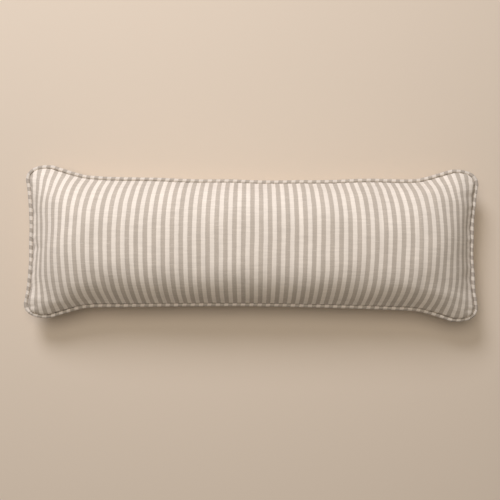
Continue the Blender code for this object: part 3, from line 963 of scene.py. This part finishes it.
def solid_from(name, shape, matrix, finish):
    mesh = bpy.data.meshes.new(name)
    shape.to_mesh(mesh)
    shape.free()
    mesh.transform(matrix)
    mesh.materials.append(finish)
    return linked(name, mesh)


def combined(obj, others, operation):
    """Joins shapes to the object, or cuts them out of it, and removes them."""
    for other in others:
        boolean = obj.modifiers.new("boolean", "BOOLEAN")
        boolean.operation = operation
        boolean.solver = "EXACT"
        boolean.object = other
        bpy.context.view_layer.update()
        evaluated = obj.evaluated_get(bpy.context.evaluated_depsgraph_get())
        mesh = bpy.data.meshes.new_from_object(evaluated)
        obj.modifiers.clear()
        old = obj.data
        obj.data = mesh
        bpy.data.meshes.remove(old)
        bpy.data.objects.remove(other, do_unlink=True)
    return obj


def rectangle(low, high, upwards_first=False):
    """Four corners, from `low` round to `high` and back. The first side runs along the first axis,
    or along the second one if `upwards_first`."""
    turns = [(low[0], high[1]), (high[0], low[1])]
    there, back = turns if upwards_first else turns[::-1]
    return [low, there, high, back]


def trapezium(half_low, half_high, low, high):
    """A symmetrical outline that narrows upwards."""
    return [(-half_low, low), (half_low, low), (half_high, high), (-half_high, high)]


def rounded_outline(points, radius, steps=4):
    """The polygon with each corner replaced by a short smooth curve."""
    made = []
    count = len(points)
    for i, corner in enumerate(points):
        corner = Vector(corner)
        back = Vector(points[i - 1]) - corner
        ahead = Vector(points[(i + 1) % count]) - corner
        start = corner + back.normalized() * min(radius, back.length * 0.45)
        end = corner + ahead.normalized() * min(radius, ahead.length * 0.45)
        for k in range(steps + 1):
            t = k / steps
            made.append(tuple(start * (1 - t) ** 2 + corner * 2 * t * (1 - t) + end * t**2))
    return made


def slider(zipper, finish):
    """Die-cast slider: two shield-shaped plates, side lips, the post between them and a bridge."""
    matrix = zipper.matrix(SLIDER_REST)
    nose, tail, wide, narrow = 0.005, -0.005, 0.0043, 0.0036
    plate_top, plate_floor, sole_top, sole_floor = 0.0035, 0.0026, -0.0009, -0.0018
    shield = rounded_outline([(tail, -narrow), (nose, -wide), (nose, wide), (tail, narrow)], 0.0013)
    body = solid_from("slider", prism(shield, plate_floor, plate_top), matrix, finish)
    parts = [solid_from("plate", prism(shield, sole_floor, sole_top), matrix, finish)]

    lip_tail, lip_nose = tail + 0.0008, nose - 0.0010
    for side in (1, -1):
        lip = [(lip_tail, side * (narrow - 0.0004)), (lip_nose, side * (wide - 0.0002))]
        lip += [(lip_nose, side * (wide - 0.0009)), (lip_tail, side * (narrow - 0.0011))]
        parts.append(solid_from("lip", prism(lip, 0.0004, 0.0029), matrix, finish))

    post = rectangle((0.0022, -0.00025), (0.0044, 0.00025))
    parts.append(solid_from("post", prism(post, -0.0015, 0.0032), matrix, finish))
    arch = rounded_outline(trapezium(0.0032, 0.0030, 0.0032, 0.0064), 0.0016)
    parts.append(solid_from("bridge", prism(arch, -0.0008, 0.0008, "XZ"), matrix, finish))
    combined(body, parts, "UNION")

    window = rounded_outline(trapezium(0.0022, 0.0020, 0.0036, 0.0054), 0.0009)
    hole = solid_from("window", prism(window, -CUT, CUT, "XZ"), matrix, finish)
    combined(body, [hole], "DIFFERENCE")
    return bevelled(body, 0.00016)


def pull_tab(zipper, finish):
    """The tab that hangs on the slider's bridge, with a round end, a recess and a hole."""
    matrix = zipper.matrix(SLIDER_REST - PULL_AXIS_BACK)
    matrix = Matrix.Translation(zipper.out * PULL_AXIS_RISE) @ matrix
    length, half, neck, half_thickness = 0.0230, 0.0032, 0.0026, 0.0005
    top, neck_end, shoulder = 0.00055, -0.0050, -0.0070
    middle = -length + half
    outline = [(top, -neck), (top, neck), (neck_end, neck), (shoulder, half)]
    for i in range(17):
        turn = math.pi * (0.5 + i / 16)
        outline.append((middle + half * math.cos(turn), half * math.sin(turn)))
    outline += [(shoulder, -half), (neck_end, -neck)]
    tab = solid_from("pull_tab", prism(outline, -half_thickness, half_thickness), matrix, finish)

    eye = rounded_outline(rectangle((-top, -0.0014), (-0.0053, 0.0014), True), 0.0007)
    recess = rounded_outline(rectangle((-0.0085, -0.0017), (-0.0160, 0.0017), True), 0.0012)
    hole = []
    for i in range(20):
        turn = 2 * math.pi * i / 20
        hole.append((middle + HOLE_RADIUS * math.cos(turn), HOLE_RADIUS * math.sin(turn)))
    cutters = [("eye", eye, -CUT), ("hole", hole, -CUT), ("recess", recess, RECESS_FLOOR)]
    made = [solid_from(name, prism(shape, low, CUT), matrix, finish) for name, shape, low in cutters]
    combined(tab, made, "DIFFERENCE")
    return bevelled(tab, 0.00014)


def stop(name, zipper, low, high, finish):
    """A stamped metal stop, clenched round the edge of the chain."""
    outline = rounded_outline(rectangle(low, high), 0.0006)
    made = solid_from(name, prism(outline, COIL_BASE, COIL_TOP), zipper.matrix(), finish)
    return bevelled(made, 0.0004, 3)


def stops(zipper, finish):
    start = SLIDER_REST + STOP_START
    far = start + STOP_LENGTH
    end = CHAIN_START - STOP_GAP
    wide = STOP_HALF_WIDTH
    return [
        stop("stop_top_upper", zipper, (start, STOP_SLIT), (far, wide), finish),
        stop("stop_top_lower", zipper, (start, -wide), (far, -STOP_SLIT), finish),
        stop("stop_bottom", zipper, (end - STOP_LENGTH, -wide), (end, wide), finish),
    ]


def topstitching(finish):
    """The row of stitches that holds the back panel's folded edge to the lower tape."""
    row_q = -ZIP_STRIP_ROW + STITCH_FROM_FOLD / FLAT_HALF_WIDTH
    vertices, faces = [], []
    count = int(2 * STITCH_REACH / (STITCH + STITCH_GAP))
    for i in range(count):
        start = -STITCH_REACH + i * (STITCH + STITCH_GAP)
        path = []
        for share, rise in STITCH_PATH:
            x = start + share * STITCH
            point, normal = cad_back(x / (END_WAIST + END_EAR), row_q)
            path.append(point + normal * rise)
        more, cells = tube(path, THREAD, 6)
        faces += [tuple(index + len(vertices) for index in cell) for cell in cells]
        vertices += more
    return new_object("topstitching", vertices, faces, finish)


def care_label(back, finish):
    """A blank satin label inside the cover, sewn into the seam beside the zipper."""
    rows, uv = [], []
    columns = np.linspace(LABEL_MIDDLE - LABEL_HALF, LABEL_MIDDLE + LABEL_HALF, 9)
    places = np.linspace(*LABEL_ENDS, 17)
    for x in columns:
        row = []
        for k, q in enumerate(places):
            point, normal = back.at(x / FLAT_HALF_LENGTH, q)
            from_middle = abs(x - LABEL_MIDDLE) / LABEL_HALF
            curl = LABEL_CURL * math.sin(2.2 * k / len(places)) * from_middle
            row.append(point - normal * (LABEL_DEPTH + curl))
            uv.append((x, q * FLAT_HALF_WIDTH))
        rows.append(row)
    return ribbon("label_inside", rows, finish, uv, LABEL_CLOTH)


# ---------------------------------------------------------------- materials

class Graph:
    """Adds shader nodes to a new material, so that a formula can be written as calls."""

    def __init__(self, name):
        self.material = bpy.data.materials.new(name)
        self.material.use_nodes = True
        self.tree = self.material.node_tree
        self.shader = self.tree.nodes["Principled BSDF"]

    def feed(self, socket, value):
        if isinstance(value, bpy.types.NodeSocket):
            self.tree.links.new(value, socket)
        elif isinstance(value, tuple) and len(value) == 3 and socket.type == "RGBA":
            socket.default_value = (*value, 1.0)
        else:
            socket.default_value = value

    def fed(self, node, values):
        """The node's first output, once its first inputs are fed."""
        for socket, value in zip(node.inputs, values):
            self.feed(socket, value)
        return node.outputs[0]

    def math(self, operation, *values):
        node = self.tree.nodes.new("ShaderNodeMath")
        node.operation = operation
        return self.fed(node, values)

    def add(self, a, b):
        return self.math("ADD", a, b)

    def times(self, a, b):
        return self.math("MULTIPLY", a, b)

    def line(self, value, slope, start):
        """A straight line: the value times `slope`, plus `start`."""
        return self.math("MULTIPLY_ADD", value, slope, start)

    def ribs(self, place):
        """Round ribs from 0 to 1, one to each unit of `place`."""
        return self.math("SINE", self.times(self.math("FRACT", place), math.pi))

    def step(self, value, low, high):
        """A smooth step from 0 at `low` to 1 at `high`."""
        node = self.tree.nodes.new("ShaderNodeMapRange")
        node.interpolation_type = "SMOOTHSTEP"
        return self.fed(node, (value, low, high, 0.0, 1.0))

    def mix(self, share, a, b, blend="MIX"):
        node = self.tree.nodes.new("ShaderNodeMix")
        node.data_type = "RGBA"
        node.blend_type = blend
        self.feed(node.inputs[0], share)
        self.feed(node.inputs[6], a)
        self.feed(node.inputs[7], b)
        return node.outputs[2]

    def grey(self, value):
        return self.fed(self.tree.nodes.new("ShaderNodeCombineColor"), (value,) * 3)

    def shade(self, colour, factor):
        """The colour times a number near 1."""
        return self.mix(1.0, colour, self.grey(factor), "MULTIPLY")

    def vary(self, colour, noise, amount):
        """The colour made lighter and darker, by `amount` at most, as a noise swings."""
        return self.shade(colour, self.line(noise, 2 * amount, 1 - amount))

    def vector(self, x, y, z=0.0):
        return self.fed(self.tree.nodes.new("ShaderNodeCombineXYZ"), (x, y, z))

    def split(self, vector):
        node = self.tree.nodes.new("ShaderNodeSeparateXYZ")
        self.fed(node, (vector,))
        return node.outputs

    def stretched(self, vector, scale):
        node = self.tree.nodes.new("ShaderNodeMapping")
        self.feed(node.inputs["Vector"], vector)
        node.inputs["Scale"].default_value = scale
        return node.outputs[0]

    def noise(self, vector, scale=1.0, detail=2.0, roughness=0.5):
        node = self.tree.nodes.new("ShaderNodeTexNoise")
        self.feed(node.inputs["Vector"], vector)
        node.inputs["Scale"].default_value = scale
        node.inputs["Detail"].default_value = detail
        node.inputs["Roughness"].default_value = roughness
        return node.outputs["Fac"]

    def plane_noise(self, u, v, size_u, size_v, detail=2.0):
        """Noise whose grain is size_u by size_v metres."""
        grain = self.vector(self.times(u, 1 / size_u), self.times(v, 1 / size_v))
        return self.noise(grain, 1.0, detail)

    def place(self):
        return self.tree.nodes.new("ShaderNodeTexCoord").outputs["Object"]

    def flat(self):
        """Where the point lay on the flat cloth: u along the length and v across it."""
        node = self.tree.nodes.new("ShaderNodeUVMap")
        node.uv_map = "flat"
        return self.split(node.outputs[0])[:2]

    def pointiness(self):
        return self.tree.nodes.new("ShaderNodeNewGeometry").outputs["Pointiness"]

    def surface(self, colour, roughness, relief=None, **values):
        """Sets the shader, with a bump from a relief in metres, and returns the material."""
        self.feed(self.shader.inputs["Base Color"], colour)
        self.feed(self.shader.inputs["Roughness"], roughness)
        for name, value in values.items():
            self.feed(self.shader.inputs[name.replace("_", " ")], value)
        if relief is not None:
            node = self.tree.nodes.new("ShaderNodeBump")
            node.inputs["Distance"].default_value = 1.0
            node.inputs["Strength"].default_value = 1.0
            self.feed(node.inputs["Height"], relief)
            self.tree.links.new(node.outputs[0], self.shader.inputs["Normal"])
        return self.material


def plain_weave(g, u, v, yarn):
    """(height of the yarn on top from 0 to 1, 1 where that is the weft)."""
    a, b = g.times(u, 1 / yarn), g.times(v, 1 / yarn)
    round_a, round_b = g.ribs(a), g.ribs(b)
    weft = g.math("FLOORED_MODULO", g.add(g.math("FLOOR", a), g.math("FLOOR", b)), 2.0)
    warp_height = g.times(round_a, g.line(round_b, 0.45, 0.55))
    weft_height = g.times(round_b, g.line(round_a, 0.45, 0.55))
    warp = g.math("SUBTRACT", 1.0, weft)
    return g.add(g.times(warp_height, warp), g.times(weft_height, weft)), weft


def striped_cloth(name, tone):
    """Linen and cotton ticking: grey and cream warp stripes, a cream weft with slubs."""
    g = Graph(name)
    u, v = g.flat()
    wanders = [
        g.times(g.add(g.plane_noise(u, v, size_u, size_v), -0.5), width)
        for size_u, size_v, width in STRIPE_WANDERS
    ]
    wander = g.add(g.add(*wanders), -STRIPE_SHIFT)
    phase = g.math("FRACT", g.add(g.times(g.add(u, wander), 1 / STRIPE_PITCH), 0.5))
    off_centre = g.times(g.math("ABSOLUTE", g.add(phase, -0.5)), STRIPE_PITCH)
    limits = STRIPE_HALF_DARK - STRIPE_EDGE, STRIPE_HALF_DARK + STRIPE_EDGE
    dark = g.math("SUBTRACT", 1.0, g.step(off_centre, *limits))
    height, weft = plain_weave(g, u, v, YARN)

    slub = g.step(g.plane_noise(u, v, 0.028, 0.0013, 1.0), 0.62, 0.80)
    weft_yarns = g.plane_noise(u, v, 0.110, 0.0008, 1.0)
    warp_yarns = g.plane_noise(u, v, 0.0009, 0.085, 1.0)
    weft_bands = g.plane_noise(u, v, 0.040, 0.0034, 2.0)
    warp_bands = g.plane_noise(u, v, 0.011, 0.220, 1.0)
    patches = g.plane_noise(u, v, 0.075, 0.060)
    fuzz = g.plane_noise(u, v, 0.0003, 0.0003, 3.0)

    colour = g.mix(dark, CREAM, GREY)
    colour = g.shade(colour, g.add(g.times(weft, g.times(dark, 0.16)), g.line(dark, -0.08, 1.0)))
    # Painted shade: darker in the hollows between the yarns, lighter on their tops
    colour = g.shade(colour, g.line(height, 0.12, 0.93))
    colour = g.vary(colour, weft_yarns, 0.045)
    colour = g.vary(colour, weft_bands, 0.15)
    colour = g.vary(colour, warp_bands, 0.10)
    colour = g.vary(colour, warp_yarns, 0.055)
    colour = g.vary(colour, patches, 0.030)
    # A tone below 1 darkens this copy of the cloth as painted shade
    colour = g.shade(colour, tone)
    colour = g.mix(g.times(slub, g.line(dark, 0.36, 0.12)), colour, SLUB_CREAM)

    relief = g.add(g.times(height, 0.000055), g.times(slub, 0.00011))
    relief = g.add(relief, g.times(g.add(weft_yarns, warp_yarns), 0.00005))
    relief = g.add(relief, g.times(fuzz, 0.00003))
    roughness = g.line(fuzz, 0.16, 0.78)
    return g.surface(
        colour, roughness, relief, Sheen_Weight=0.12, Sheen_Roughness=0.55, Specular_IOR_Level=0.22
    )


def calico():
    """The insert's plain unbleached cloth, with flecks of husk."""
    g = Graph("insert_calico")
    u, v = g.flat()
    height, weft = plain_weave(g, u, v, CALICO_YARN)
    flecks = g.step(g.plane_noise(u, v, 0.004, 0.0009, 1.0), 0.70, 0.82)
    # Painted shade: darker in the hollows between the yarns, lighter on their tops
    tone = g.shade(CALICO, g.line(height, 0.14, 0.92))
    tone = g.vary(tone, g.plane_noise(u, v, 0.05, 0.05), 0.04)
    tone = g.mix(g.times(flecks, 0.5), tone, HUSK)
    relief = g.add(g.times(height, 0.00005), g.times(flecks, 0.00005))
    roughness = g.line(weft, 0.06, 0.80)
    return g.surface(
        tone, roughness, relief, Sheen_Weight=0.10, Sheen_Roughness=0.5, Specular_IOR_Level=0.25
    )


def fibre():
    """Matted polyester fibre."""
    g = Graph("fibre_wool")
    place = g.place()
    strands = g.noise(place, 900.0, 5.0, 0.65)
    clumps = g.noise(place, 60.0, 3.0)
    tone = g.vary(g.vary(WOOL, strands, 0.12), clumps, 0.05)
    relief = g.add(g.times(strands, 0.0005), g.times(clumps, 0.0015))
    return g.surface(tone, g.line(strands, 0.1, 0.85), relief, Sheen_Weight=0.3, Sheen_Roughness=0.4)


def tape_cloth():
    """Zipper tape: a fine twill."""
    g = Graph("zipper_tape_twill")
    u, v = g.flat()
    rib = g.ribs(g.times(g.add(u, v), 1 / TWILL_RIB))
    threads = g.ribs(g.times(u, 1 / TWILL_THREAD))
    # Painted shade: darker in the grooves between the twill's ribs and between its threads
    tone = g.shade(TAPE_BEIGE, g.line(rib, 0.16, 0.90))
    tone = g.shade(tone, g.line(threads, 0.06, 0.96))
    tone = g.vary(tone, g.plane_noise(u, v, 0.02, 0.004), 0.05)
    relief = g.add(g.times(rib, 0.00008), g.times(threads, 0.00003))
    return g.surface(tone, g.line(rib, -0.10, 0.80), relief, Sheen_Weight=0.08, Specular_IOR_Level=0.3)


def nylon():
    """Moulded monofilament of the zipper's coils."""
    g = Graph("zipper_nylon_filament")
    cloud = g.noise(g.place(), 350.0, 3.0)
    tone = g.vary(NYLON_BEIGE, cloud, 0.08)
    relief = g.times(cloud, 0.00002)
    return g.surface(
        tone, g.line(cloud, 0.18, 0.28), relief,
        Specular_IOR_Level=0.5, Subsurface_Weight=0.08, Subsurface_Scale=0.0008
    )


def brass():
    """Antique brass: polished where it is rubbed, darker and duller in between."""
    g = Graph("zipper_brass_worn")
    place = g.place()
    tarnish = g.step(g.noise(place, 420.0, 4.0, 0.6), 0.40, 0.64)
    scratches = g.noise(g.stretched(place, (300.0, 6000.0, 2500.0)), 1.0, 2.0)
    rubbed = g.step(g.pointiness(), 0.50, 0.56)
    worn = g.math("MINIMUM", g.add(g.times(tarnish, 0.6), rubbed), 1.0)
    tone = g.mix(worn, BRASS_DULL, BRASS_BRIGHT)
    roughness = g.add(g.line(worn, -0.20, 0.46), g.times(scratches, 0.08))
    return g.surface(tone, roughness, g.times(scratches, 0.000006), Metallic=1.0)


def thread():
    """Spun sewing thread with its twist."""
    g = Graph("sewing_thread_twist")
    place = g.place()
    x, _, z = g.split(place)
    ply = g.ribs(g.add(g.times(x, 1 / 0.0007), g.times(z, 1 / 0.0005)))
    hairs = g.noise(place, 5000.0, 3.0)
    # Painted shade: darker in the grooves between the plies of the twist
    tone = g.vary(g.shade(THREAD_CREAM, g.line(ply, 0.22, 0.84)), hairs, 0.06)
    relief = g.add(g.times(ply, 0.00006), g.times(hairs, 0.00001))
    return g.surface(tone, g.line(hairs, 0.2, 0.55), relief, Sheen_Weight=0.15)


def satin():
    """Satin label with no printing."""
    g = Graph("label_satin_weave")
    u, v = g.flat()
    rib = g.ribs(g.times(u, 1 / 0.00035))
    # Painted shade: darker in the hollows between the satin's floats
    tone = g.shade(SATIN_WHITE, g.line(rib, 0.06, 0.95))
    tone = g.vary(tone, g.plane_noise(u, v, 0.01, 0.003), 0.04)
    roughness = g.line(rib, 0.08, 0.34)
    return g.surface(tone, roughness, g.times(rib, 0.00002), Sheen_Weight=0.2, Specular_IOR_Level=0.5)


# ---------------------------------------------------------------- stage

def soft_lamp(name, azimuth, elevation, distance, size, power, colour):
    """A round softbox aimed at the pillow. The azimuth is measured from +Y towards -X, in degrees."""
    lamp = bpy.data.lights.new(name, "AREA")
    lamp.shape = "DISK"
    lamp.size = size
    lamp.energy = power
    lamp.color = colour
    obj = linked(name, lamp)
    turn, rise = math.radians(azimuth), math.radians(elevation)
    level = math.cos(rise)
    direction = Vector((-math.sin(turn) * level, math.cos(turn) * level, math.sin(rise)))
    obj.location = direction * distance
    obj.rotation_euler = direction.to_track_quat("Z", "Y").to_euler()


def stage():
    """Plain pale floor, a soft key from the upper left, a wide overhead lamp, a faint even fill,
    and the camera above."""
    paint = Graph("floor_paint").surface(FLOOR_COLOUR, 0.9, Specular_IOR_Level=0.1)
    corners = rectangle((-FLOOR_HALF, -FLOOR_HALF), (FLOOR_HALF, FLOOR_HALF))
    corners = [(x, y, -FLOOR_GAP) for x, y in corners]
    floor = new_object("floor", corners, [(0, 1, 2, 3)], paint, smooth_shading=False)

    world = bpy.data.worlds.new("studio")
    bpy.context.scene.world = world
    world.use_nodes = True
    background = world.node_tree.nodes["Background"]
    background.inputs["Color"].default_value = (*FILL_COLOUR, 1.0)
    background.inputs["Strength"].default_value = FILL_STRENGTH

    for name, sizes in LAMPS.items():
        soft_lamp(name, *sizes)

    view = bpy.data.cameras.new("camera")
    view.lens = CAMERA_LENS
    camera = linked("camera", view)
    camera.location = CAMERA_PLACE
    camera.rotation_euler = Euler((0, 0, math.radians(CAMERA_ROLL)))
    bpy.context.scene.camera = camera
    bpy.context.scene.view_settings.view_transform = "Standard"


# ---------------------------------------------------------------- the pillow

def place_piece(piece, body, slot, *nodes):
    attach(piece, body)
    if nodes:
        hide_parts(*nodes)
    return piece


def build():
    """Every piece, with the body it rides on and the CAD node that it replaces."""
    cloth = striped_cloth("striped_cloth_weave", 1.0)
    # The piping's copy of the cover cloth is made darker: painted shade
    strip = striped_cloth("piping_weave_painted_shade", PIPE_PAINTED_SHADE)
    inner_cloth, wool = calico(), fibre()
    twill, filament, metal, cotton, label = tape_cloth(), nylon(), brass(), thread(), satin()

    front = Face(1)
    back = Face(-1)
    padded = [
        (cover_panel("cover_front", front, cloth), "striped_cloth", "front_panel"),
        (cover_panel("cover_back", back, cloth), "striped_cloth", "back_panel"),
        (casing_half("casing_front", front, inner_cloth), "insert_cloth", "insert_casing_front"),
        (casing_half("casing_back", back, inner_cloth), "insert_cloth", "insert_casing_back"),
        (filling(front, back, wool), "fibre", "insert_fill"),
    ]
    for piece, slot, node in padded:
        place_piece(piece, "cushion", slot, node)
    place_piece(piping(strip), "cushion", "striped_cloth", "welt_cover")
    place_piece(piping_cord(wool), "cushion", "fibre", "welt_cord")
    place_piece(care_label(back, label), "cushion", "label_satin", "care_label")

    zipper = ZipFrame()
    for piece, node in zip(zipper_tapes(zipper, twill), ("zipper_tape_upper", "zipper_tape_lower")):
        place_piece(piece, "cushion", "zipper_tape", node)
    for side, end in ((1, "upper"), (-1, "lower")):
        made = coil("coil_" + end, zipper, side, filament)
        place_piece(made, "cushion", "zipper_nylon", "zipper_coil_" + end)
    stop_nodes = ("zipper_top_stop_upper", "zipper_top_stop_lower", "zipper_bottom_stop")
    for piece, node in zip(stops(zipper, metal), stop_nodes):
        place_piece(piece, "cushion", "zipper_metal", node)
    place_piece(topstitching(cotton), "cushion", "zipper_tape")
    place_piece(slider(zipper, metal), "slider", "zipper_metal", "zipper_slider")
    place_piece(pull_tab(zipper, metal), "pull_tab", "zipper_metal", "zipper_pull")


stage()
build()
bpy.context.view_layer.update()
